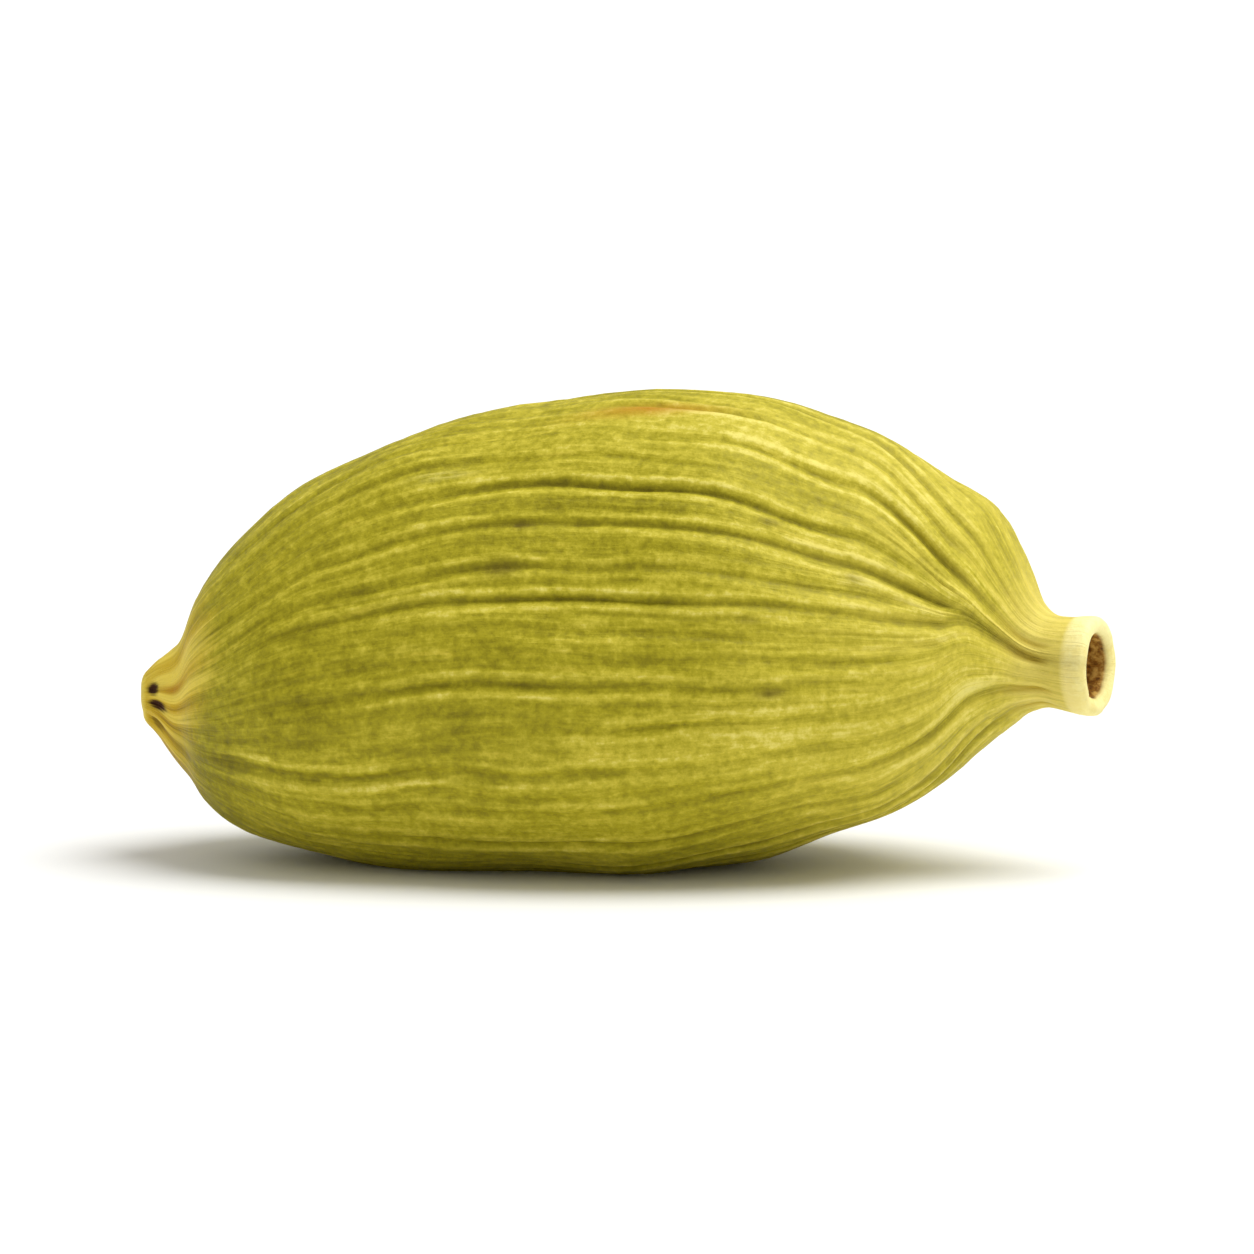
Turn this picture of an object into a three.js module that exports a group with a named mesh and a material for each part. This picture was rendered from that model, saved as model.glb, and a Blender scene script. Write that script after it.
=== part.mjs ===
// A dried green cardamom pod, closed, lying on one of its three flattened sides.
// Millimetres, +Z up. X runs along the pod: the small cracked tip is at -X and the pale, hollow collar at +X.
// The origin is on the surface that the pod rests on, below the middle of the pod's box.
// The pod grew as one piece, so it is one solid: a skin of rings threaded on a curved spine.

import * as THREE from "three";

// Driving dimensions
const LENGTH = 16.37; // tip to collar lip, along the spine's X
const BODY_RADIUS = 4.09; // of the mean circle at the thickest ring
const NECK_RADIUS = 0.82; // where the shoulder runs out into the collar
const LIP_RADIUS = 0.86; // outside of the collar
const HOLE_RADIUS = 0.56; // inside of the collar
const HOLE_DEPTH = 0.8;
const TIP_RADIUS = 0.55; // the blunt, cracked tip
const REST_CUT = 0.18; // how much of the underside the flat resting spot takes away

// The outline from the middle of the tip, over the body and the collar's lip, to the floor of the hollow:
// distance from the tip, and radius of the mean circle there.
const OUTLINE = [
  [0.05, 0],
  [0, TIP_RADIUS * 0.4],
  [0.05, TIP_RADIUS * 0.75],
  [0.18, 0.57],
  [0.46, 0.86],
  [0.76, 1.2],
  [1.06, 1.8],
  [1.5, 2.3],
  [2.45, 2.95],
  [3.75, BODY_RADIUS * 0.84],
  [5.4, BODY_RADIUS * 0.925],
  [8.6, BODY_RADIUS],
  [10.6, BODY_RADIUS * 0.96],
  [11.8, 3.5],
  [12.9, 3.07],
  [13.8, 2.53],
  [14.5, 2],
  [14.88, 1.51],
  [15.2, 1.03],
  [15.5, NECK_RADIUS],
  [LENGTH - 0.5, NECK_RADIUS],
  [LENGTH - 0.24, LIP_RADIUS],
  [LENGTH - 0.06, LIP_RADIUS * 0.99],
  [LENGTH, LIP_RADIUS * 0.9],
  [LENGTH - 0.07, HOLE_RADIUS],
  [LENGTH - HOLE_DEPTH * 0.75, HOLE_RADIUS * 0.86],
  [LENGTH - HOLE_DEPTH, HOLE_RADIUS * 0.5],
  [LENGTH - HOLE_DEPTH, 0],
];

// The spine: distance from the tip, sideways offset, and height over the lowest point before the rest cut.
const SPINE = [
  [0, 0, 2.6],
  [0.3, 0, 2.58],
  [0.7, 0, 2.48],
  [1.1, 0, 2.66],
  [1.5, 0, 2.8],
  [2.45, 0, 3.1],
  [3.75, 0, 3.32],
  [5.4, 0, 3.6],
  [8.6, 0, 3.86],
  [10.6, 0, 4],
  [12.9, 0, 3.95],
  [13.8, -0.06, 3.98],
  [14.5, -0.16, 4.06],
  [14.9, -0.24, 3.86],
  [15.3, -0.32, 3.57],
  [15.8, -0.42, 3.45],
  [LENGTH, -0.55, 3.43],
];
const COLLAR_TURN = 15.5; // degrees that the collar turns towards -Y
const TIP_DROP = 3; // degrees that the tip points down

// Cross-section: a circle drawn towards three rounded corners, one of them on top
const CORNER_SHARE = 0.062; // of the radius
const TOP_CORNER = 90; // degrees round the pod from +Y, over the top to -Y

// Slow swells and hollows: waves round the pod, radians per mm along it, phase, and share of the radius
const SWELLS = [
  [2, 0.9, 0, 0.011],
  [3, -1.3, 1, 0.009],
  [5, 1.9, 2, 0.006],
];

// Cracks that spread from the tip
const CRACKS = 6;
const CRACK_SHARE = 0.05; // of the radius

// Furrows between the ribs: degrees round the pod, depth, and the stretch along the pod where each is at its deepest.
// These are on the side that faces -Y.
const SEEN_FURROWS = [
  [96, 0.1, 9, 14],
  [107, 0.13, 9.5, 15.5],
  [116, 0.07, 2, 9],
  [124.8, 0.17, 5, 12],
  [136.2, 0.16, 5.2, 15.5],
  [148.5, 0.12, 6, 12],
  [157, 0.17, 3.6, 15],
  [165.5, 0.08, 5, 8],
  [173, 0.08, 9, 12],
  [181, 0.13, 5.5, 11],
  [191.5, 0.1, 9, 13.5],
  [202, 0.13, 2, 8.5],
  [212, 0.12, 9, 15.5],
  [223, 0.1, 5, 12.5],
  [235, 0.11, 7, 15],
];
const HIDDEN_FURROWS = 17; // spread by a rule round the rest
const HIDDEN_DEPTH = [0.09, 0.19];
const HIDDEN_JITTER = 0.36; // of the gap between two of them
const HIDDEN_STARTS = [0.15, 0.45]; // where their deepest stretches start, as shares of the length
const HIDDEN_STRETCH = 0.55;
const FURROW_WIDTH = 2.1; // degrees from the bottom of a furrow to where it has risen by two thirds
const WIDENS = 1.6; // how fast a furrow takes more degrees as the pod gets slimmer
const WIDEST = 5; // times as many degrees as on the body, at most
const FAINT = 0.4; // what is left of a furrow's depth outside its deepest stretch
const FAINTER = 0.12; // the same past the shoulder, where few furrows go on to the collar
const FAINT_AFTER = 1.6; // mm past that stretch
const SHOULDER = [12.2, 14.2]; // where the body narrows towards the collar
const SHOULDER_GAIN = 0.6; // how much deeper the furrows that reach the collar are past there
const UNEVEN = 0.25; // share of a furrow's depth that comes and goes along it
const UNEVEN_WAVES = 1.7; // along the pod
const SWAY = 0.9; // degrees that a furrow wanders to each side
const SWAY_WAVES = 1.2; // along the pod

// Where the furrows slide round the pod and draw together: most degrees that they slide, where round the pod that
// is, how narrow the sliding part is, and the stretch along the pod over which it grows
const SLIDES = [
  [13.5, 119, 4, [5.5, 12.5]],
  [36, 99, 6, [12.3, 15]],
  [12, 134, 6, [3.4, 1.2]],
];

// Stretches along the pod, as distances from the tip, where something grows to full strength or fades out
const BODY_GROWS = [0.8, 3.2];
const BODY_FADES = [12.6, 15.2];
const FURROWS_GROW = [0.5, 3];
const FURROWS_FADE = [14.5, 15.6];
const FURROWS_END = [15.45, 15.95];
const TIP_BENDS = [0.6, 2.4];
const COLLAR_BENDS = [13.4, 15.5];
const CRACKS_FADE = [0.3, 1.3];
const FURROWS_AT_TIP = 0.35; // of their depth on the body
const FURROWS_AT_NECK = 0.6;

const RING_STEP = 0.62; // longest distance between rings, along the outline
const COLUMNS = [0, 0.22, 0.5, 0.78]; // where the mesh's lines run between one furrow and the next

const TURN = 360;
const GOLDEN = 0.618034;
const HALVINGS = 40; // enough to find a point of the spine exactly

const radians = THREE.MathUtils.degToRad;
const mix = THREE.MathUtils.lerp;

// From 0 to 1 over a stretch, and back from 1 to 0.
function rise(x, [start, end]) {
  const share = THREE.MathUtils.clamp((x - start) / (end - start), 0, 1);
  return share * share * (3 - 2 * share);
}

const fade = (x, stretch) => 1 - rise(x, stretch);

// An even spread of numbers from 0 to 1, a different one for each whole n.
const spread = (n) => (n * GOLDEN) % 1;

const curveThrough = (points) =>
  new THREE.CatmullRomCurve3(points.map((point) => new THREE.Vector3(...point)), false, "centripetal");

const outline = curveThrough(OUTLINE.map(([x, radius]) => [x, radius, 0]));
const spine = curveThrough(SPINE);

// The point of the spine at a distance x from the tip, by halving the curve's parameter.
function spineAt(x) {
  let low = 0;
  let high = 1;
  for (let step = 0; step < HALVINGS; step++) {
    const middle = (low + high) / 2;
    if (spine.getPoint(middle).x < x) low = middle;
    else high = middle;
  }
  return spine.getPoint((low + high) / 2);
}

// Furrows all round: where each runs, how deep it is and where it is deepest, and its own phase.
function makeFurrows() {
  const [last] = SEEN_FURROWS.at(-1);
  const [first] = SEEN_FURROWS[0];
  const gap = (first + TURN - last) / (HIDDEN_FURROWS + 1);
  const hidden = Array.from({ length: HIDDEN_FURROWS }, (_, n) => {
    const angle = last + gap * (n + 1 + HIDDEN_JITTER * (spread(n) - 0.5));
    const start = LENGTH * mix(...HIDDEN_STARTS, spread(2 * n + 3));
    return [angle, mix(...HIDDEN_DEPTH, spread(n + 7)), start, start + LENGTH * HIDDEN_STRETCH];
  });
  return [...SEEN_FURROWS, ...hidden].map(([angle, depth, start, end], n) => ({
    angle,
    depth,
    start,
    end,
    phase: TURN * spread(3 * n + 1),
  }));
}

const furrows = makeFurrows();

// How many degrees a furrow has slid round at a distance x from the tip.
function slide(angle, x) {
  let degrees = 0;
  for (const [most, middle, narrowness, stretch] of SLIDES) {
    const share = (0.5 + 0.5 * Math.cos(radians(angle - middle))) ** narrowness;
    degrees += most * share * rise(x, stretch);
  }
  return degrees;
}

// The angle of a furrow at a distance x from the tip.
function furrowAngle(furrow, x) {
  const sway = SWAY * Math.sin(radians(furrow.phase + (TURN * SWAY_WAVES * x) / LENGTH));
  return furrow.angle + sway + slide(furrow.angle, x);
}

// How strongly the furrows show at a distance x from the tip: full on the body, none on the collar's lip.
function furrowShare(x) {
  const tip = mix(FURROWS_AT_TIP, 1, rise(x, FURROWS_GROW));
  const neck = mix(FURROWS_AT_NECK, 1, fade(x, FURROWS_FADE));
  return tip * neck * fade(x, FURROWS_END);
}

// How deep a furrow is at a distance x from the tip, as a share of its full depth.
function depthShare({ start, end, phase }, x) {
  const deepest = rise(x, [start - FAINT_AFTER, start]) * fade(x, [end, end + FAINT_AFTER]);
  const wave = Math.sin(radians(2 * phase + (TURN * UNEVEN_WAVES * x) / LENGTH));
  const shoulder = rise(x, SHOULDER);
  const share = mix(mix(FAINT, FAINTER, shoulder), 1, deepest) * (1 + SHOULDER_GAIN * deepest * shoulder);
  return share * (1 - UNEVEN + UNEVEN * wave);
}

// Depth of the furrows at an angle, in mm below the ribs' crests.
function relief(angle, x, radius) {
  const width = FURROW_WIDTH * THREE.MathUtils.clamp((BODY_RADIUS / radius) ** WIDENS, 1, WIDEST);
  let depth = 0;
  for (const furrow of furrows) {
    const away = THREE.MathUtils.euclideanModulo(angle - furrowAngle(furrow, x) + TURN / 2, TURN) - TURN / 2;
    depth += furrow.depth * depthShare(furrow, x) * Math.exp(-((away / width) ** 2));
  }
  return depth * furrowShare(x);
}

// How far the cross-section has left the plain circle that it has at the tip and at the collar.
const bodyShare = (x) => rise(x, BODY_GROWS) * fade(x, BODY_FADES);

// Radius of the skin at an angle, where the mean circle has the given radius.
function skinRadius(angle, x, radius) {
  let share = CORNER_SHARE * Math.cos(radians(3 * (angle - TOP_CORNER)));
  for (const [waves, along, phase, height] of SWELLS) {
    share += height * Math.sin(waves * radians(angle) + along * x + phase);
  }
  share *= bodyShare(x);
  share += CRACK_SHARE * fade(x, CRACKS_FADE) * Math.cos(CRACKS * radians(angle));
  return radius * (1 + share) - relief(angle, x, radius) * Math.min(1, radius / HOLE_RADIUS);
}

// One ring of the skin: points round the spine at a distance x from the tip.
function ring(x, radius) {
  const centre = spineAt(x);
  centre.z -= CORNER_SHARE * radius * bodyShare(x);
  const drop = radians(TIP_DROP) * fade(x, TIP_BENDS);
  const turn = radians(COLLAR_TURN) * rise(x, COLLAR_BENDS);
  const bend = new THREE.Euler(0, -drop, -turn);
  const points = [];
  furrows.forEach((furrow, n) => {
    const from = furrowAngle(furrow, x);
    const next = furrows[(n + 1) % furrows.length];
    const to = furrowAngle(next, x) + (n + 1 === furrows.length ? TURN : 0);
    for (const share of COLUMNS) {
      const angle = mix(from, to, share);
      const r = skinRadius(angle, x, radius);
      const across = new THREE.Vector3(0, r * Math.cos(radians(angle)), r * Math.sin(radians(angle)));
      points.push(across.applyEuler(bend).add(centre));
    }
  });
  return points;
}

// The outline's points between the two poles, no further apart than the ring step.
function outlineSteps() {
  const spans = OUTLINE.length - 1;
  const steps = [];
  for (let span = 0; span < spans; span++) {
    const [x, radius] = OUTLINE[span];
    const [nextX, nextRadius] = OUTLINE[span + 1];
    const parts = Math.max(1, Math.round(Math.hypot(nextX - x, nextRadius - radius) / RING_STEP));
    for (let part = 0; part < parts; part++) {
      steps.push(outline.getPoint((span + part / parts) / spans));
    }
  }
  return steps.slice(1);
}

function makePod() {
  const rings = outlineSteps().map(({ x, y }) => ring(x, y));
  const around = rings[0].length;
  const tipPole = spineAt(OUTLINE[0][0]);
  const floorPole = spineAt(OUTLINE.at(-1)[0]);
  const points = [tipPole, ...rings.flat(), floorPole];
  const at = (row, column) => 1 + row * around + (column % around);
  const faces = [];
  for (let column = 0; column < around; column++) {
    faces.push(0, at(0, column + 1), at(0, column));
    for (let row = 0; row + 1 < rings.length; row++) {
      faces.push(at(row, column), at(row + 1, column + 1), at(row + 1, column));
      faces.push(at(row, column), at(row, column + 1), at(row + 1, column + 1));
    }
    faces.push(points.length - 1, at(rings.length - 1, column), at(rings.length - 1, column + 1));
  }

  // The flat spot that the pod rests on
  const lowest = Math.min(...points.map((point) => point.z));
  for (const point of points) point.z = Math.max(point.z - lowest - REST_CUT, 0);

  const geometry = new THREE.BufferGeometry().setFromPoints(points).setIndex(faces);
  geometry.computeBoundingBox();
  const middle = geometry.boundingBox.getCenter(new THREE.Vector3());
  geometry.translate(-middle.x, -middle.y, 0);
  geometry.computeVertexNormals();
  return geometry;
}

const husk = new THREE.MeshStandardMaterial({ color: 0xaba032, roughness: 0.62, metalness: 0 });

const pod = new THREE.Mesh(makePod(), husk);
pod.name = "pod";

const part = new THREE.Group();
part.add(pod);

export default part;
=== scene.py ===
# A dried green cardamom pod on a pale floor.
# The husk follows the same rules as the solid it stands for, on a much finer net. It adds what is too fine
# for the solid: sharp furrows with raised rims, thin lines between them, fibres, grain, the split tip and
# the torn hollow.
# Lengths are in millimetres until the mesh is made, and angles are in degrees round the pod.

import math

import bpy
import numpy as np
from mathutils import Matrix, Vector, noise


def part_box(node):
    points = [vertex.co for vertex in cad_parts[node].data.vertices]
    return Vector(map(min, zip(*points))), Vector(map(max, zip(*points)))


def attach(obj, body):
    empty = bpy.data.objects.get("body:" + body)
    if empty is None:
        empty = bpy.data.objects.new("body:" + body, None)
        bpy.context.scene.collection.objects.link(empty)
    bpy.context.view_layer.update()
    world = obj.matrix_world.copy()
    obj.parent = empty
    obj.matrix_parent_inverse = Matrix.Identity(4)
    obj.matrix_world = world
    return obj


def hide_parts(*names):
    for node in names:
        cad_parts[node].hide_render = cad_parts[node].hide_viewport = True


MM = 0.001
TURN = 360
GOLDEN = 0.618034

# The solid's driving dimensions
LENGTH = 16.37
BODY_RADIUS = 4.09
NECK_RADIUS = 0.82
LIP_RADIUS = 0.86
HOLE_RADIUS = 0.56
HOLE_DEPTH = 0.8
TIP_RADIUS = 0.55
REST_CUT = 0.18

# Distance from the tip and radius, from the middle of the tip to the floor of the hollow
OUTLINE = [
    (0.05, 0),
    (0, TIP_RADIUS * 0.4),
    (0.05, TIP_RADIUS * 0.75),
    (0.18, 0.57),
    (0.46, 0.86),
    (0.76, 1.2),
    (1.06, 1.8),
    (1.5, 2.3),
    (2.45, 2.95),
    (3.75, BODY_RADIUS * 0.84),
    (5.4, BODY_RADIUS * 0.925),
    (8.6, BODY_RADIUS),
    (10.6, BODY_RADIUS * 0.96),
    (11.8, 3.5),
    (12.9, 3.07),
    (13.8, 2.53),
    (14.5, 2),
    (14.88, 1.51),
    (15.2, 1.03),
    (15.5, NECK_RADIUS),
    (LENGTH - 0.5, NECK_RADIUS),
    (LENGTH - 0.24, LIP_RADIUS),
    (LENGTH - 0.06, LIP_RADIUS * 0.99),
    (LENGTH, LIP_RADIUS * 0.9),
    (LENGTH - 0.04, HOLE_RADIUS * 1.06),
    (LENGTH - HOLE_DEPTH * 0.75, HOLE_RADIUS * 0.86),
    (LENGTH - HOLE_DEPTH, HOLE_RADIUS * 0.5),
    (LENGTH - HOLE_DEPTH, 0),
]
HOLLOW_STARTS = 24  # which point of the outline is the first inside the collar

# Distance from the tip, sideways offset and height of the spine
SPINE = [
    (0, 0, 2.6),
    (0.3, 0, 2.58),
    (0.7, 0, 2.48),
    (1.1, 0, 2.66),
    (1.5, 0, 2.8),
    (2.45, 0, 3.1),
    (3.75, 0, 3.32),
    (5.4, 0, 3.6),
    (8.6, 0, 3.86),
    (10.6, 0, 4),
    (12.9, 0, 3.95),
    (13.8, -0.06, 3.98),
    (14.5, -0.16, 4.06),
    (14.9, -0.24, 3.86),
    (15.3, -0.32, 3.57),
    (15.8, -0.42, 3.45),
    (LENGTH, -0.55, 3.43),
]
SPINE_PARTS = 40  # from one point of the spine to the next
COLLAR_TURN = 15.5  # how far the collar leans to the side
TIP_DROP = 3  # how far the tip's end points down

# The cross-section, in shares of its radius: three rounded corners, and creases in the tip
CORNER_SHARE = 0.062
TOP_CORNER = 90
CRACKS = 6
CRACK_SHARE = 0.05

# Slow swells: how many round the pod, radians to the millimetre along it, phase in radians, and share
SWELLS = [(2, 0.9, 0, 0.011), (3, -1.3, 1, 0.009), (5, 1.9, 2, 0.006)]

# Angle and depth of the furrows on the side that faces the camera, and the stretch where each is deepest
SEEN_FURROWS = [
    (96, 0.1, 9, 14),
    (107, 0.13, 9.5, 15.5),
    (116, 0.07, 2, 9),
    (124.8, 0.17, 5, 12),
    (136.2, 0.16, 5.2, 15.5),
    (148.5, 0.12, 6, 12),
    (157, 0.17, 3.6, 15),
    (165.5, 0.08, 5, 8),
    (173, 0.08, 9, 12),
    (181, 0.13, 5.5, 11),
    (191.5, 0.1, 9, 13.5),
    (202, 0.13, 2, 8.5),
    (212, 0.12, 9, 15.5),
    (223, 0.1, 5, 12.5),
    (235, 0.11, 7, 15),
]

# The other furrows, spread by a rule: their depths, how uneven their places are, and where their deepest
# stretches start and how long they are, in shares of the length
HIDDEN_FURROWS = 17
HIDDEN_DEPTH = (0.09, 0.19)
HIDDEN_JITTER = 0.36
HIDDEN_STARTS = (0.15, 0.45)
HIDDEN_STRETCH = 0.55

FAINT = 0.4  # what is left of a furrow's depth outside its stretch
FAINTER = 0.12  # the same, past the shoulder
FAINT_AFTER = 1.6  # how long a furrow takes to get faint
SHOULDER = (12.2, 14.2)
SHOULDER_GAIN = 0.9  # how much deeper the furrows that reach the collar are on the shoulder
UNEVEN = 0.25
UNEVEN_WAVES = 1.7
SWAY = 0.9
SWAY_WAVES = 1.2

# Where the furrows slide round the pod: by how much, about which angle, how narrowly, and over which stretch
SLIDES = [(13.5, 119, 4, (5.5, 12.5)), (36, 99, 6, (12.3, 15)), (12, 134, 6, (3.4, 1.2))]

# Distances from the tip over which a form grows, fades, ends or bends
BODY_GROWS = (0.8, 3.2)
BODY_FADES = (12.6, 15.2)
FURROWS_GROW = (0.5, 3)
FURROWS_FADE = (14.5, 15.6)
FURROWS_END = (15.45, 15.95)
TIP_BENDS = (0.6, 2.4)
COLLAR_BENDS = (13.4, 15.5)
CRACKS_FADE = (0.3, 1.3)

# What is left of the furrows' depth at the two ends
FURROWS_AT_TIP = 0.35
FURROWS_AT_NECK = 0.6

# The finer net
COLUMNS = 16  # from one furrow to the next
CROWDING = 0.05  # how much closer the columns stand at a furrow
BODY_STEP = 0.15
END_STEP = 0.062
FINE_TIP = 1.2  # distance from the tip below which the rings stand closer
FINE_COLLAR = 15.1  # distance from the tip beyond which they do

# Furrows, seen close: a sharp bottom in a wider valley, between two low rims.
# Widths are in degrees on the body, where the pod is thickest.
SHARP_WIDTH = 0.85
VALLEY_WIDTH = 2.4
SHARP_SHARE = 0.45
VALLEY_SHARE = 0.2
RIM_AWAY = 2.4
RIM_WIDTH = 0.9
RIM_SHARE = 0.13
WIDENS = 1.6  # how fast a furrow takes more degrees as the pod gets slimmer
WIDEST = 5  # times as many degrees as on the body, at most
WOBBLE = 0.3
WOBBLE_WAVES = 5.3
FULL_DEPTH = 0.16  # depth of a furrow that gets all of the furrows' colour, which is partly the husk's own olive and partly painted shade
RIMS_PAST_SHOULDER = 0.5  # what is left of the rims' painted highlight there

# Thin lines between the furrows
LINES_PER_GAP = 4
LINE_WIDTH = 0.9
LINE_DEPTHS = (0.0126, 0.036)
LINE_PLACES = (0.7, 1.3)  # in spaces from one line to the next
LINE_MIDDLES = (0.12, 0.92)  # in shares of the length
LINE_REACHES = (1.2, 4.8)
LINE_SWAY = 0.5
LINE_SWAY_WAVES = 0.9

# Rough surface: heights in mm, and sizes in features to the mm
FIBRE_HEIGHT = 0.011
FIBRE_SIZE = 4
FIBRE_STRETCH = 7
FINER_FIBRES = 2.1
FINER_FIBRE_SHARE = 0.6
GRAIN_HEIGHT = 0.01
GRAIN_SIZE = 4.5
FINER_GRAIN = 2
FINER_GRAIN_SHARE = 0.5
DENT_HEIGHT = 0.045
DENT_SIZE = 0.6
SKIN_STARTS = (0.1, 1.5)
SKIN_ENDS = (15, 15.6)
SMOOTH_SHARE = 0.25  # how much of the roughness is left on the tip and the collar
LEAST_RADIUS = 0.02  # of a ring, whatever the relief takes off

# Splits in the tip: angle, distance from the tip, half width in degrees, half length, depth and darkness
TIP_SPLITS = [
    (155, 0.25, 14, 0.13, 0.13, 1),
    (181, 0.34, 9, 0.2, 0.18, 1),
    (214, 0.3, 9, 0.15, 0.1, 0.55),
    (248, 0.2, 7, 0.09, 0.1, 0.8),
    (283, 0.36, 10, 0.13, 0.15, 1),
    (336, 0.27, 14, 0.08, 0.1, 0.6),
    (372, 0.4, 7, 0.18, 0.16, 0.9),
    (404, 0.22, 8, 0.08, 0.08, 0.7),
    (446, 0.33, 10, 0.14, 0.13, 0.8),
]
SPLIT_ROUGHNESS = 0.2
SPLIT_EDGE = (0.3, 0.75)

# Ridges that run out from the tip
TIP_RIDGES = 14
TIP_RIDGE_HEIGHT = 0.02
TIP_RIDGE_JITTER = 1.4
TIP_RIDGES_GROW = (0.12, 0.5)
TIP_RIDGES_FADE = (1, 2.4)

# The tip's tan reaches furthest where the sine of the angle is TAN_LONGEST, and is shorter to both sides
TAN_LONGEST = 0.4
TAN_SHORTER = 0.45
TAN_TURNS = (0.1, 0.8)
TAN_ENDS = (0.6, 1.9)

# Where the husk gets paler towards the collar, and where the colours of the collar, hollow and nose end
SHOULDER_PALES = (9, 15.3)
NECK_PALES = (14.8, 15.5)
COLLAR_EDGE = (15.94, 16.04)
HOLLOW_EDGE = (0.04, 0.15)
NOSE_ENDS = (0.02, 0.14)

# Marks on the husk: angle, distance from the tip, half width in degrees, half length, and how much they show
RUST_MARKS = [(104, 8.8, 2.6, 1, 1), (158, 0.68, 4, 0.2, 1)]
DARK_MARKS = [
    (137.8, 6.8, 1.3, 0.12, 1),
    (149.8, 6.5, 2.3, 0.26, 0.7),
    (186.5, 11.1, 1.1, 0.22, 0.8),
    (140, 11, 1, 0.16, 0.6),
    (168, 10.7, 1, 0.14, 0.5),
    (152.5, 12.4, 2, 0.16, 0.45),
]
PALE_MARKS = [(118.5, 5.3, 1.2, 0.45, 1), (154, 12.6, 1.6, 0.22, 1), (205, 14.6, 4, 0.35, 1)]

# Wide areas that are paler or, below 0, darker than the rest, in the same way. They are partly the husk's own
# uneven tone and partly painted highlight and painted shade
TONE_AND_PAINTED_LIGHT_AREAS = [
    (140, 0.6, 40, 0.6, 0.3),
    (225, 1.3, 30, 0.6, -0.18),
    (204, 1.7, 9, 0.4, -0.2),
    (162, 1.3, 12, 0.4, 0.12),
    (186, 3, 12, 2, -0.14),
    (172, 5.5, 8, 2, -0.06),
    (112, 9.6, 13, 2.8, 0.28),
    (196, 11, 12, 2.4, 0.14),
    (152, 13.4, 9, 1.2, -0.06),
    (203, 14.7, 18, 0.7, 0.2),
]

# The hollow's torn floor, and the collar: out of round, with an uneven and nicked lip
TORN_HEIGHT = 0.2
TORN_SIZE = 4
TORN_EDGE = (0.4, 1.1)
OVAL_SHARE = 0.035
OVAL_PHASE = 1.2
OVAL_GROWS = (14.9, 15.8)
LIP_HEIGHT = 0.02
LIP_SIZE = 1.9
LIP_STARTS = (LENGTH - 0.4, LENGTH)
LIP_NICKS = [(232, 0.03), (292, 0.02), (20, 0.015), (84, 0.02)]  # angle and depth
NICK_WIDTH = 11

# The scar in the middle of the tip
SCAR_RADIUS = 0.24
SCAR_HEIGHT = 0.05
SCAR_SIZE = 6
SCAR_ROUGHNESS = 0.7
SCAR_EDGE = (0.5, 1.4)
SCAR_ENDS = (0.1, 0.4)
SCAR_DARKNESS = 1.4

# Colours from 0 to 255, and rows of them with the place of each
HUSK_TONES = [
    (0, (114, 104, 2)),
    (0.28, (142, 132, 10)),
    (0.5, (168, 157, 26)),
    (0.74, (200, 186, 56)),
    (1, (234, 220, 112)),
]
TAN_TONES = [(0.2, (158, 120, 2)), (0.5, (206, 171, 30)), (0.85, (238, 212, 82))]
CREAM_TONES = [(0.35, (243, 226, 140)), (0.55, (255, 245, 174))]
TORN_TONES = [(0.32, (76, 42, 6)), (0.46, (150, 100, 26)), (0.62, (210, 166, 80))]
SHOULDER_COLOUR = (218, 200, 84)
NECK_COLOUR = (236, 217, 112)
# the creases' colour is painted shade in the furrows by the neck, partly their own darker gold
CREASE_COLOUR = (176, 150, 32)
FLECK_COLOUR = (224, 212, 116)
DARK_COLOUR = (88, 74, 8)
RUST_COLOUR = (184, 130, 12)
SPLIT_COLOUR = (62, 30, 2)
FLOOR_COLOUR = (245, 245, 243)

# Where the noise of the streaks and of the hairs runs from dark to pale
STREAKS = (0.3, 0.7)
HAIRS = (0.4, 0.6)
RUSTY_HAIRS = (0.3, 0.6)

# The stage and the view, in metres and degrees
FLOOR_SIDE = 4
ROOM_STRENGTH = 0.53
SUN_STRENGTH = 2.8
SUN_SPREAD = 45
SUN_FROM = (0.42, 0.06, 1)
VIEW_AZIMUTH = 6
VIEW_ELEVATION = 7.5
VIEW_DISTANCE = 0.29
VIEW_FILL = 0.78


def colour(red, green, blue):
    """A colour from 0 to 255 as the linear values that a shader takes."""
    shares = [value / 255 for value in (red, green, blue)]
    linear = [share / 12.92 if share <= 0.04045 else ((share + 0.055) / 1.055) ** 2.4 for share in shares]
    return (*linear, 1)


def rise(x, stretch):
    """From 0 to 1 over a stretch, softly."""
    share = np.clip((x - stretch[0]) / (stretch[1] - stretch[0]), 0, 1)
    return share * share * (3 - 2 * share)


def fade(x, stretch):
    return 1 - rise(x, stretch)


def mix(low, high, share):
    return low + (high - low) * share


def spread(n):
    """An even spread of numbers from 0 to 1, a different one for each whole n."""
    return (n * GOLDEN) % 1


def curve_through(points, parts):
    """Points along a smooth curve through the given ones, with so many parts from each to the next."""
    points = np.array(points, float)
    line = np.vstack([2 * points[0] - points[1], points, 2 * points[-1] - points[-2]])
    found = []
    for span, count in enumerate(parts):
        before, start, end, after = line[span : span + 4]
        pairs = ((before, start), (start, end), (end, after))
        near, mid, far = (math.sqrt(np.linalg.norm(second - first)) for first, second in pairs)
        leave = ((start - before) / near - (end - before) / (near + mid) + (end - start) / mid) * mid
        reach = ((end - start) / mid - (after - start) / (mid + far) + (after - end) / far) * mid
        along = (np.arange(count) / count)[:, None]
        square = 3 * (end - start) - 2 * leave - reach
        cube = 2 * (start - end) + leave + reach
        found.append(start + along * (leave + along * (square + along * cube)))
    return np.vstack([*found, points[-1:]])


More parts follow.
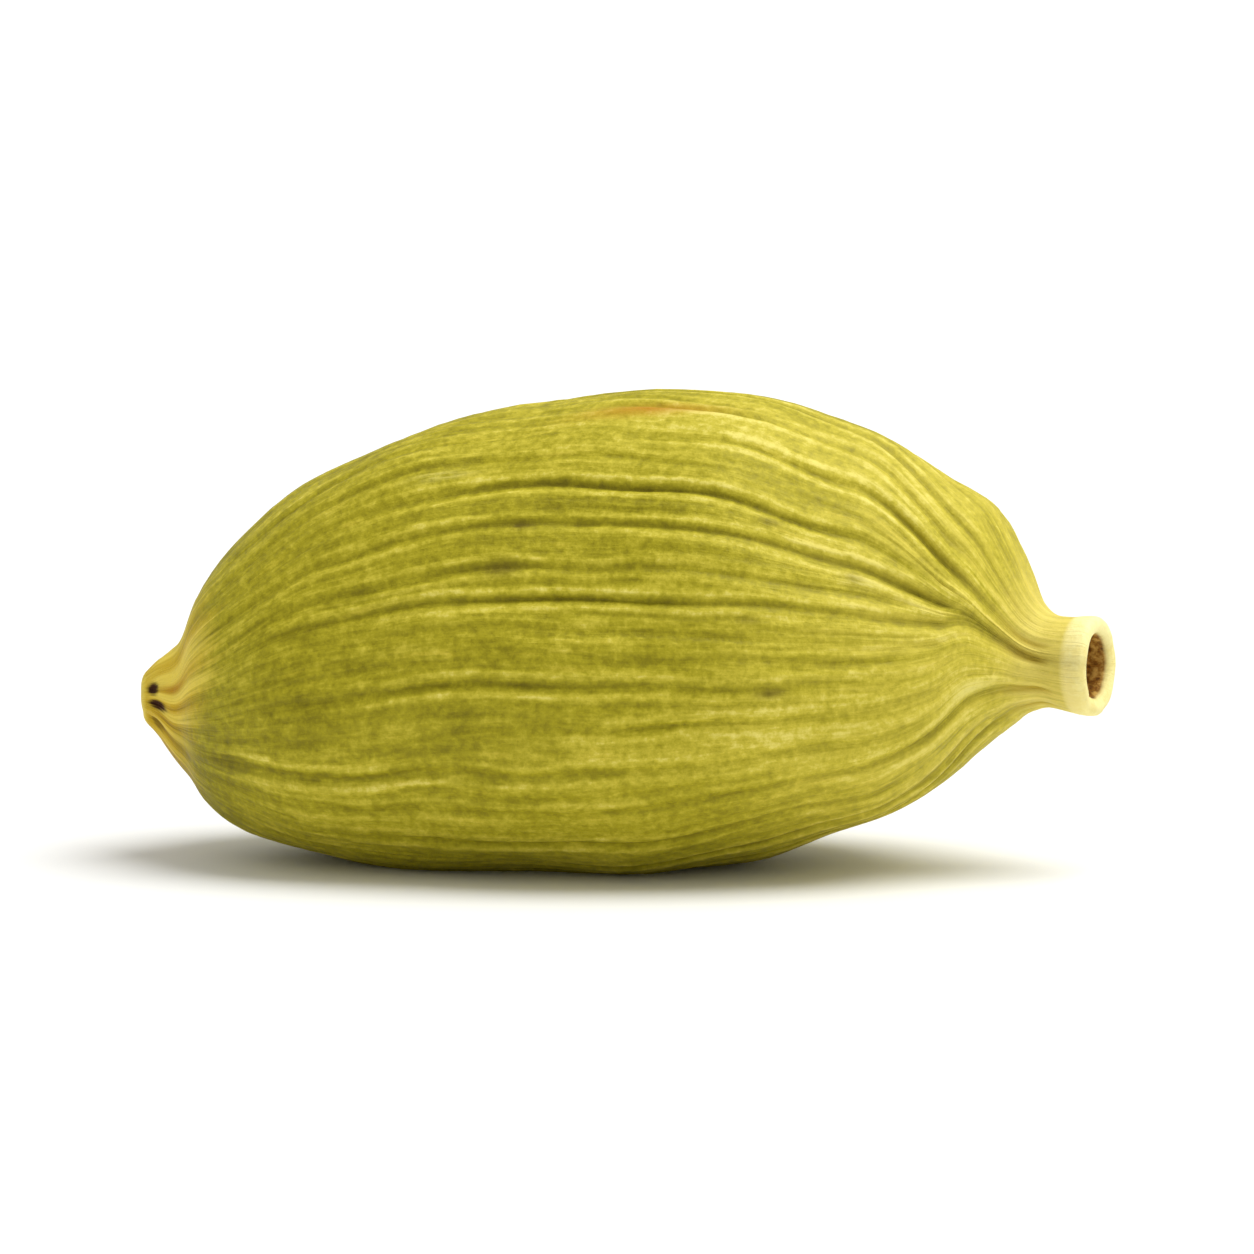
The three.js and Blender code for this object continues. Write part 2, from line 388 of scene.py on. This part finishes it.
def noise_at(points, size, shift=0):
    """Smooth noise from about -1 to 1 at each of an array of points."""
    flat = (points * size + shift).reshape(-1, 3).tolist()
    return np.array([noise.noise(point) for point in flat]).reshape(points.shape[:-1])


def make_furrows():
    """Angle, depth, deepest stretch and phase of each furrow, in order round the pod."""
    last, first = SEEN_FURROWS[-1][0], SEEN_FURROWS[0][0]
    gap = (first + TURN - last) / (HIDDEN_FURROWS + 1)
    rows = list(SEEN_FURROWS)
    for n in range(HIDDEN_FURROWS):
        angle = last + gap * (n + 1 + HIDDEN_JITTER * (spread(n) - 0.5))
        start = LENGTH * mix(*HIDDEN_STARTS, spread(2 * n + 3))
        rows.append((angle, mix(*HIDDEN_DEPTH, spread(n + 7)), start, start + LENGTH * HIDDEN_STRETCH))
    return [(*row, TURN * spread(3 * n + 1)) for n, row in enumerate(rows)]


def furrow_angle(angle, phase, x):
    """Where a furrow runs at each distance from the tip."""
    sway = SWAY * np.sin(np.radians(phase + TURN * SWAY_WAVES * x / LENGTH))
    wobble = WOBBLE * np.sin(np.radians(3 * phase + TURN * WOBBLE_WAVES * x / LENGTH))
    slides = 0
    for most, middle, narrowness, reach in SLIDES:
        share = (0.5 + 0.5 * math.cos(math.radians(angle - middle))) ** narrowness
        slides = slides + most * share * rise(x, reach)
    return angle + sway + wobble + slides


def around(difference):
    """A difference of two angles, from -180 to 180."""
    return (difference + TURN / 2) % TURN - TURN / 2


def outline_rings():
    """Distance from the tip and radius of each ring, and where the hollow's rings start."""
    parts = []
    for (x, radius), (next_x, next_radius) in zip(OUTLINE, OUTLINE[1:]):
        fine = next_x <= FINE_TIP or x >= FINE_COLLAR
        step = END_STEP if fine else BODY_STEP
        parts.append(max(2, round(math.hypot(next_x - x, next_radius - radius) / step)))
    rings = curve_through(OUTLINE, parts)[1:-1]
    return rings[:, 0], rings[:, 1], sum(parts[:HOLLOW_STARTS]) - 1


def patch(angle, x, mark):
    """How much of a mark shows at each point: 1 in its middle, fading to 0."""
    middle, place, half_angle, half_length = mark[:4]
    across = around(angle - middle) / half_angle
    along = (x - place) / half_length
    return np.exp(-(across**2) - along**2)


def skin_net(furrows):
    """Distance from the tip, radius, angle and straight angle of each point, and the rings in the hollow."""
    x, radius, hollow_row = outline_rings()
    inside = (np.arange(len(x)) >= hollow_row)[:, None]
    x, radius = x[:, None], radius[:, None]

    # The columns keep their place between two furrows all along the pod
    steps = np.arange(COLUMNS) / COLUMNS
    shares = steps - CROWDING * np.sin(2 * math.pi * steps)
    angles, straight = [], []
    for n, (angle, *_, phase) in enumerate(furrows):
        next_angle, *_, next_phase = furrows[(n + 1) % len(furrows)]
        lap = TURN if n + 1 == len(furrows) else 0
        start = furrow_angle(angle, phase, x)
        end = furrow_angle(next_angle, next_phase, x) + lap
        angles.append(mix(start, end, shares))
        straight.append(mix(angle, next_angle + lap, shares))
    angle = np.hstack(angles)
    straight = np.broadcast_to(np.hstack(straight), angle.shape)
    x = np.broadcast_to(x, angle.shape)
    radius = np.broadcast_to(radius, angle.shape)
    return x, radius, angle, straight, inside


def section(angle, x, body):
    """How far the cross-section stands out from its ring, as a share of the ring's radius."""
    share = CORNER_SHARE * np.cos(np.radians(3 * (angle - TOP_CORNER)))
    for waves, along, phase, height in SWELLS:
        share = share + height * np.sin(waves * np.radians(angle) + along * x + phase)
    share = share * body
    share += CRACK_SHARE * fade(x, CRACKS_FADE) * np.cos(CRACKS * np.radians(angle))
    share += OVAL_SHARE * rise(x, OVAL_GROWS) * np.cos(2 * np.radians(angle) + OVAL_PHASE)
    return share


def furrow_relief(angle, x, radius, furrows):
    """The furrows' depth at each point, and how far it is in a sharp bottom and on a rim."""
    wider = np.clip((BODY_RADIUS / radius) ** WIDENS, 1, WIDEST)
    shoulder = rise(x, SHOULDER)
    depth = np.zeros_like(angle)
    sharp = np.zeros_like(angle)
    rims = np.zeros_like(angle)
    for start, height, deep_from, deep_to, phase in furrows:
        away = around(angle - furrow_angle(start, phase, x))
        wave = np.sin(np.radians(2 * phase + TURN * UNEVEN_WAVES * x / LENGTH))
        deep = rise(x, (deep_from - FAINT_AFTER, deep_from)) * fade(x, (deep_to, deep_to + FAINT_AFTER))
        height = height * (1 - UNEVEN + UNEVEN * wave) * mix(mix(FAINT, FAINTER, shoulder), 1, deep)
        height = height * (1 + SHOULDER_GAIN * deep * shoulder)
        bottom = np.exp(-((away / (SHARP_WIDTH * wider)) ** 2))
        valley = np.exp(-((away / (VALLEY_WIDTH * wider)) ** 2))
        rim = np.exp(-(((np.abs(away) / wider - RIM_AWAY) / RIM_WIDTH) ** 2))
        depth += height * (SHARP_SHARE * bottom + VALLEY_SHARE * valley - RIM_SHARE * rim)
        sharp = np.maximum(sharp, bottom * height)
        rims = np.maximum(rims, rim * height)
    return depth, sharp, rims


def thin_lines(straight, x, furrows):
    """The depth of each thin line between the furrows, one after the other."""
    for n in range(len(furrows) * LINES_PER_GAP):
        start = furrows[n // LINES_PER_GAP][0]
        end = furrows[(n // LINES_PER_GAP + 1) % len(furrows)][0]
        gap = (end - start) % TURN
        place = start + gap * (n % LINES_PER_GAP + mix(*LINE_PLACES, spread(n))) / (LINES_PER_GAP + 1)
        away = around(straight - place - LINE_SWAY * np.sin(LINE_SWAY_WAVES * x + n))
        middle = LENGTH * mix(*LINE_MIDDLES, spread(5 * n + 2))
        reach = mix(*LINE_REACHES, spread(3 * n + 1))
        height = mix(*LINE_DEPTHS, spread(2 * n)) * np.exp(-(((x - middle) / reach) ** 4))
        yield np.exp(-((away / LINE_WIDTH) ** 2)) * height


def tip_splits(angle, x, grain):
    """Depth and darkness of the splits round the tip."""
    pits = np.zeros_like(angle)
    splits = np.zeros_like(angle)
    for split in TIP_SPLITS:
        shape = patch(angle, x, split)
        pits = np.maximum(pits, shape * split[4])
        splits = np.maximum(splits, split[5] * rise(shape + SPLIT_ROUGHNESS * grain, SPLIT_EDGE))
    return pits, splits


def end_relief(angle, x, radius, across, up, inside):
    """How far the two ends' faces stand out along the spine, and where the tip's scar is."""
    outside = 1 - inside
    face = np.stack([across, up, 0 * x], -1)
    torn = TORN_HEIGHT * noise_at(face, TORN_SIZE) * inside * fade(radius / HOLE_RADIUS, TORN_EDGE)
    nicks = sum(deep * np.exp(-((around(angle - place) / NICK_WIDTH) ** 2)) for place, deep in LIP_NICKS)
    uneven = (LIP_HEIGHT * noise_at(face, LIP_SIZE, shift=60) - nicks) * rise(x, LIP_STARTS)
    bumps = noise_at(face, SCAR_SIZE, shift=33)
    scar = fade(radius / SCAR_RADIUS + SCAR_ROUGHNESS * bumps, SCAR_EDGE) * fade(x, SCAR_ENDS) * outside
    return torn + uneven - scar * SCAR_HEIGHT * (bumps - 0.5), scar


def across_spine(x, radius, across, up, out, body):
    """The points in space: each ring stands across the spine."""
    spine = curve_through(SPINE, [SPINE_PARTS] * (len(SPINE) - 1))
    centre_y = np.interp(x, spine[:, 0], spine[:, 1])
    centre_z = np.interp(x, spine[:, 0], spine[:, 2]) - CORNER_SHARE * radius * body
    drop = math.radians(TIP_DROP) * fade(x, TIP_BENDS)
    bend = math.radians(COLLAR_TURN) * rise(x, COLLAR_BENDS)
    points = [
        x + across * np.sin(bend) - up * np.sin(drop) + out * np.cos(bend),
        centre_y + across * np.cos(bend) - out * np.sin(bend),
        centre_z + up * np.cos(drop),
    ]
    return np.stack(points, -1)


def make_husk(mesh_name):
    """The pod's skin: its mesh, with the measures that the material reads at each point."""
    furrows = make_furrows()
    x, radius, angle, straight, inside = skin_net(furrows)
    outside = 1 - inside
    body = rise(x, BODY_GROWS) * fade(x, BODY_FADES)
    room = np.minimum(1, radius / HOLE_RADIUS)

    # Points of a straight pod, where every fibre is a straight line
    turn = np.radians(straight)
    straight_pod = np.stack([x, BODY_RADIUS * np.cos(turn), BODY_RADIUS * np.sin(turn)], -1)
    fibre_pod = straight_pod * (1 / FIBRE_STRETCH, 1, 1)

    # Furrows and thin lines
    tip = mix(FURROWS_AT_TIP, 1, rise(x, FURROWS_GROW))
    neck = mix(FURROWS_AT_NECK, 1, fade(x, FURROWS_FADE))
    strength = tip * neck * fade(x, FURROWS_END) * room
    depth, sharp, rims = furrow_relief(angle, x, radius, furrows)
    for line in thin_lines(straight, x, furrows):
        depth += line
        sharp = np.maximum(sharp, line)

    # Fibres, grain and dents
    fibres = noise_at(fibre_pod, FIBRE_SIZE)
    fibres = fibres + FINER_FIBRE_SHARE * noise_at(fibre_pod, FINER_FIBRES * FIBRE_SIZE, shift=40)
    grain = noise_at(straight_pod, GRAIN_SIZE, shift=17)
    grain = grain + FINER_GRAIN_SHARE * noise_at(straight_pod, FINER_GRAIN * GRAIN_SIZE, shift=5)
    dents = noise_at(straight_pod, DENT_SIZE, shift=90)
    skin = rise(x, SKIN_STARTS) * fade(x, SKIN_ENDS) * outside
    rough = (FIBRE_HEIGHT * fibres + GRAIN_HEIGHT * grain) * mix(SMOOTH_SHARE, 1, skin)
    rough = rough + DENT_HEIGHT * dents * skin

    # The tip's splits and ridges
    pits, splits = tip_splits(angle, x, grain)
    waves = np.cos(TIP_RIDGES * turn + TIP_RIDGE_JITTER * np.sin(2 * turn))
    ridges = waves * rise(x, TIP_RIDGES_GROW) * fade(x, TIP_RIDGES_FADE)
    pits = pits - TIP_RIDGE_HEIGHT * ridges

    skin_radius = radius * (1 + section(angle, x, body)) - depth * strength + rough * room - pits
    skin_radius = np.maximum(skin_radius, LEAST_RADIUS)
    across, up = skin_radius * np.cos(np.radians(angle)), skin_radius * np.sin(np.radians(angle))
    out, scar = end_relief(angle, x, radius, across, up, inside)
    points = across_spine(x, radius, across, up, out, body)

    aside = np.abs(np.sin(np.radians(angle)) - TAN_LONGEST)
    measures = {
        # furrow: where the furrows' painted shade and own olive go, by their depth
        "furrow": np.clip(sharp * strength / FULL_DEPTH, 0, 1),
        # rim: where the painted highlight on the furrows' raised rims goes
        "rim": np.clip(rims * strength / FULL_DEPTH, 0, 1) * mix(1, RIMS_PAST_SHOULDER, rise(x, SHOULDER)),
        "tip": fade(x + TAN_SHORTER * rise(aside, TAN_TURNS), TAN_ENDS),
        "shoulder": rise(x, SHOULDER_PALES),
        "neck": rise(x, NECK_PALES),
        "collar": np.maximum(rise(x, COLLAR_EDGE), inside),
        "hollow": inside * rise(LENGTH - x + (HOLE_RADIUS - radius), HOLLOW_EDGE),
        "split": splits,
        "ridge": 0.5 + 0.5 * ridges,
        "nose": fade(x, NOSE_ENDS) - SCAR_DARKNESS * scar,
        "rust": np.max([mark[4] * patch(angle, x, mark) for mark in RUST_MARKS], 0),
        "dark": np.max([mark[4] * patch(angle, x, mark) for mark in DARK_MARKS], 0),
        "pale": np.max([mark[4] * patch(angle, x, mark) for mark in PALE_MARKS], 0),
        # wide patches of the husk's own tone and of painted highlight and painted shade
        "painted_light_and_tone": np.sum([painted_light_and_tone[4] * patch(angle, x, painted_light_and_tone) for painted_light_and_tone in TONE_AND_PAINTED_LIGHT_AREAS], 0),
        "fibre": fibre_pod,
        "place": points,
    }
    return grid_mesh(mesh_name, points, measures)


def grid_mesh(name, points, measures):
    """A closed mesh from rings of points, in millimetres, with a pole past each end."""
    rows, columns = points.shape[:2]

    def with_poles(values):
        flat = values.reshape(rows * columns, -1)
        return np.vstack([flat[:columns].mean(0), flat, flat[-columns:].mean(0)])

    places = with_poles(points)
    low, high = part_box("pod")
    middle = (places.min(0) + places.max(0)) / 2
    shift = np.array((low + high) / 2) / MM - middle
    places[:, :2] += shift[:2]
    places[:, 2] = np.maximum(places[:, 2] - places[:, 2].min() - REST_CUT, 0)

    row, column = np.meshgrid(np.arange(rows - 1), np.arange(columns), indexing="ij")
    here = 1 + row * columns + column
    beside = 1 + row * columns + (column + 1) % columns
    quads = np.stack([here, beside, beside + columns, here + columns], -1).reshape(-1, 4).tolist()
    first = np.arange(columns)
    second = (first + 1) % columns
    last_ring = 1 + (rows - 1) * columns
    tip_fan = np.stack([0 * first, 1 + second, 1 + first], -1).tolist()
    floor_fan = np.stack([0 * first + len(places) - 1, last_ring + first, last_ring + second], -1).tolist()

    mesh = bpy.data.meshes.new(name)
    mesh.from_pydata((places * MM).tolist(), [], quads + tip_fan + floor_fan)
    mesh.shade_smooth()
    for title, values in measures.items():
        flat = with_poles(np.asarray(values, float))
        if flat.shape[1] == 3:
            attribute = mesh.attributes.new(title, "FLOAT_VECTOR", "POINT")
            attribute.data.foreach_set("vector", flat.ravel().astype(np.float32))
        else:
            attribute = mesh.attributes.new(title, "FLOAT", "POINT")
            attribute.data.foreach_set("value", flat.ravel().astype(np.float32))
    return mesh


def add(tree, kind, inputs, **settings):
    """A new node, with each input linked or set."""
    node = tree.nodes.new(kind)
    for name, value in settings.items():
        setattr(node, name, value)
    for name, value in inputs.items():
        if isinstance(value, bpy.types.NodeSocket):
            tree.links.new(value, node.inputs[name])
        else:
            node.inputs[name].default_value = value
    return node


def measure(tree, name):
    """One of the mesh's own measures."""
    return add(tree, "ShaderNodeAttribute", {}, attribute_name=name)


def texture(tree, place, size, detail=2.0, rough=0.5, twist=0.0):
    """Noise from 0 to 1, with so many features to the millimetre."""
    inputs = {"Vector": place, "Scale": size, "Detail": detail, "Roughness": rough, "Distortion": twist}
    return add(tree, "ShaderNodeTexNoise", inputs).outputs["Fac"]


def stretch(tree, value, start, end=(0, 1)):
    """A value stretched from one range to another, and held within it."""
    inputs = {"Value": value, "From Min": start[0], "From Max": start[1], "To Min": end[0], "To Max": end[1]}
    return add(tree, "ShaderNodeMapRange", inputs).outputs["Result"]


def times(tree, first, second):
    return add(tree, "ShaderNodeMath", {0: first, 1: second}, operation="MULTIPLY").outputs[0]


def weighed(tree, start, *terms):
    """A start value plus each value times its weight."""
    total = start
    for value, weight in terms:
        inputs = {0: value, 1: weight, 2: total}
        total = add(tree, "ShaderNodeMath", inputs, operation="MULTIPLY_ADD").outputs[0]
    return total


def ramp(tree, value, stops):
    """A colour from a row of stops."""
    node = add(tree, "ShaderNodeValToRGB", {"Fac": value})
    elements = node.color_ramp.elements
    while len(elements) < len(stops):
        elements.new(0.5)
    for element, (place, shade) in zip(elements, stops):
        element.position = place
        element.color = colour(*shade)
    return node.outputs["Color"]


def layer(tree, share, under, over):
    """One colour over another, where share says."""
    node = tree.nodes.new("ShaderNodeMix")
    node.data_type = "RGBA"
    for socket, value in ((node.inputs[0], share), (node.inputs[6], under), (node.inputs[7], over)):
        if isinstance(value, bpy.types.NodeSocket):
            tree.links.new(value, socket)
        else:
            socket.default_value = value
    return node.outputs[2]


def husk_material():
    """Papery husk: olive in the furrows, yellow-green on the ribs, cream on the collar and tan on the tip.
    The furrows' dark is partly painted shade, their rims carry painted highlight, and wide patches carry
    painted highlight and painted shade.
    """
    material = bpy.data.materials.new("husk")
    material.use_nodes = True
    tree = material.node_tree
    tree.nodes.clear()

    def share(name):
        return measure(tree, name).outputs["Fac"]

    fibre = measure(tree, "fibre").outputs["Vector"]
    place = measure(tree, "place").outputs["Vector"]
    broad = texture(tree, place, 0.35, detail=3)
    streaks = texture(tree, fibre, 3.2, detail=4, rough=0.6)
    hairs = texture(tree, fibre, 8, detail=3, rough=0.6)
    grain = texture(tree, place, 7, detail=4, rough=0.7)
    blotches = texture(tree, place, 2.2, detail=3, rough=0.6, twist=0.4)

    # The husk, paler towards the collar
    tone = weighed(
        tree,
        -1.0,
        (broad, 0.45),
        (streaks, 0.5),
        (hairs, 0.6),
        (grain, 0.9),
        (blotches, 0.45),
        # painted shade in the furrows, darker where they are deeper, partly the husk's own olive
        (share("furrow"), -0.3),
        # painted highlight on the raised rims beside the furrows
        (share("rim"), 0.4),
        (share("shoulder"), 0.14),
        # wide patches: partly the husk's own tone, partly painted highlight and painted shade
        (share("painted_light_and_tone"), 1),
    )
    husk = ramp(tree, tone, HUSK_TONES)
    pale = times(tree, share("shoulder"), stretch(tree, streaks, STREAKS, (0.05, 0.5)))
    husk = layer(tree, pale, husk, colour(*SHOULDER_COLOUR))
    neck = times(tree, share("neck"), stretch(tree, streaks, STREAKS, (0.45, 0.9)))
    husk = layer(tree, neck, husk, colour(*NECK_COLOUR))
    # painted shade in the furrows by the neck, partly their own darker gold
    creases = times(tree, share("neck"), stretch(tree, share("furrow"), (0.1, 0.7), (0, 0.75)))
    husk = layer(tree, creases, husk, colour(*CREASE_COLOUR))
    flecks = times(tree, share("pale"), stretch(tree, hairs, HAIRS, (0, 0.8)))
    husk = layer(tree, flecks, husk, colour(*FLECK_COLOUR))
    husk = layer(tree, share("dark"), husk, colour(*DARK_COLOUR))

    # The tan tip, with a streaky edge, and the rusty marks
    tip_streak = weighed(
        tree,
        -0.27,
        (streaks, 0.6),
        (hairs, 0.5),
        (share("ridge"), 0.45),
        (share("nose"), 0.4),
        # the same wide patches of own tone, painted highlight and painted shade, on the tan tip
        (share("painted_light_and_tone"), 1),
    )
    tan = ramp(tree, tip_streak, TAN_TONES)
    tip = weighed(tree, -0.6, (share("tip"), 1), (streaks, 0.6), (hairs, 0.6))
    husk = layer(tree, stretch(tree, tip, (0.1, 0.9)), husk, tan)
    rust = times(tree, share("rust"), stretch(tree, hairs, RUSTY_HAIRS, (0.7, 1)))
    husk = layer(tree, rust, husk, colour(*RUST_COLOUR))

    # The collar, its hollow, and the splits in the tip
    cream = ramp(tree, weighed(tree, 0.0, (broad, 0.6), (grain, 0.4)), CREAM_TONES)
    husk = layer(tree, share("collar"), husk, cream)
    torn = ramp(tree, texture(tree, place, 7, detail=3, rough=0.6), TORN_TONES)
    husk = layer(tree, share("hollow"), husk, torn)
    husk = layer(tree, share("split"), husk, colour(*SPLIT_COLOUR))

    height = weighed(tree, 0.0, (grain, 0.7), (hairs, 0.8), (streaks, 0.6))
    bump = add(tree, "ShaderNodeBump", {"Height": height, "Strength": 0.7, "Distance": 0.045 * MM})
    inputs = {
        "Base Color": husk,
        "Roughness": stretch(tree, grain, (0.3, 0.7), (0.5, 0.7)),
        "IOR": 1.38,
        "Specular IOR Level": 0.3,
        "Normal": bump.outputs["Normal"],
    }
    shader = add(tree, "ShaderNodeBsdfPrincipled", inputs)
    add(tree, "ShaderNodeOutputMaterial", {"Surface": shader.outputs["BSDF"]})
    return material


def make_floor():
    """A plain pale floor, far wider than any view of the pod."""
    mesh = bpy.data.meshes.new("floor")
    edge = FLOOR_SIDE / 2
    corners = [(-edge, -edge, 0), (edge, -edge, 0), (edge, edge, 0), (-edge, edge, 0)]
    mesh.from_pydata(corners, [], [(0, 1, 2, 3)])
    floor = bpy.data.objects.new("floor", mesh)
    bpy.context.scene.collection.objects.link(floor)
    material = bpy.data.materials.new("floor")
    material.use_nodes = True
    shader = material.node_tree.nodes["Principled BSDF"]
    shader.inputs["Base Color"].default_value = colour(*FLOOR_COLOUR)
    shader.inputs["Roughness"].default_value = 0.6
    mesh.materials.append(material)


def make_light():
    """A white room, and one broad soft light from above."""
    scene = bpy.context.scene
    scene.world = bpy.data.worlds.new("room")
    scene.world.use_nodes = True
    room = scene.world.node_tree.nodes["Background"]
    room.inputs["Color"].default_value = (1, 1, 1, 1)
    room.inputs["Strength"].default_value = ROOM_STRENGTH
    light = bpy.data.lights.new("above", "SUN")
    light.energy = SUN_STRENGTH
    light.angle = math.radians(SUN_SPREAD)
    lamp = bpy.data.objects.new("above", light)
    scene.collection.objects.link(lamp)
    lamp.rotation_euler = Vector(SUN_FROM).to_track_quat("Z", "Y").to_euler()


def make_camera():
    """The photograph's view: almost level, a little from the collar's side, and from far off."""
    low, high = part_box("pod")
    azimuth, elevation = math.radians(VIEW_AZIMUTH), math.radians(VIEW_ELEVATION)
    level = math.cos(elevation)
    back = Vector((math.sin(azimuth) * level, -math.cos(azimuth) * level, math.sin(elevation)))
    camera = bpy.data.cameras.new("camera")
    camera.clip_start = 0.01
    camera.lens = camera.sensor_width * VIEW_DISTANCE * VIEW_FILL / (high.x - low.x)
    holder = bpy.data.objects.new("camera", camera)
    bpy.context.scene.collection.objects.link(holder)
    holder.location = (low + high) / 2 + back * VIEW_DISTANCE
    holder.rotation_euler = back.to_track_quat("Z", "Y").to_euler()
    bpy.context.scene.camera = holder


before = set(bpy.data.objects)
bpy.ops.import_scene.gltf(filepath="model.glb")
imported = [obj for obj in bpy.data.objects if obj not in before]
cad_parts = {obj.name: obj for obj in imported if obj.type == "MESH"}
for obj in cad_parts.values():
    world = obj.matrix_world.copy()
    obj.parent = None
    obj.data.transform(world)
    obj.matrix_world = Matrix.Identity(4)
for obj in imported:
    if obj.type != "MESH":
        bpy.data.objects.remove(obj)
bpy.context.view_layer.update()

husk = bpy.data.objects.new("pod_husk", make_husk("pod_husk"))
bpy.context.scene.collection.objects.link(husk)
husk.data.materials.append(husk_material())
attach(husk, "root")
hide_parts("pod")

make_floor()
make_light()
make_camera()
bpy.context.scene.view_settings.view_transform = "Standard"
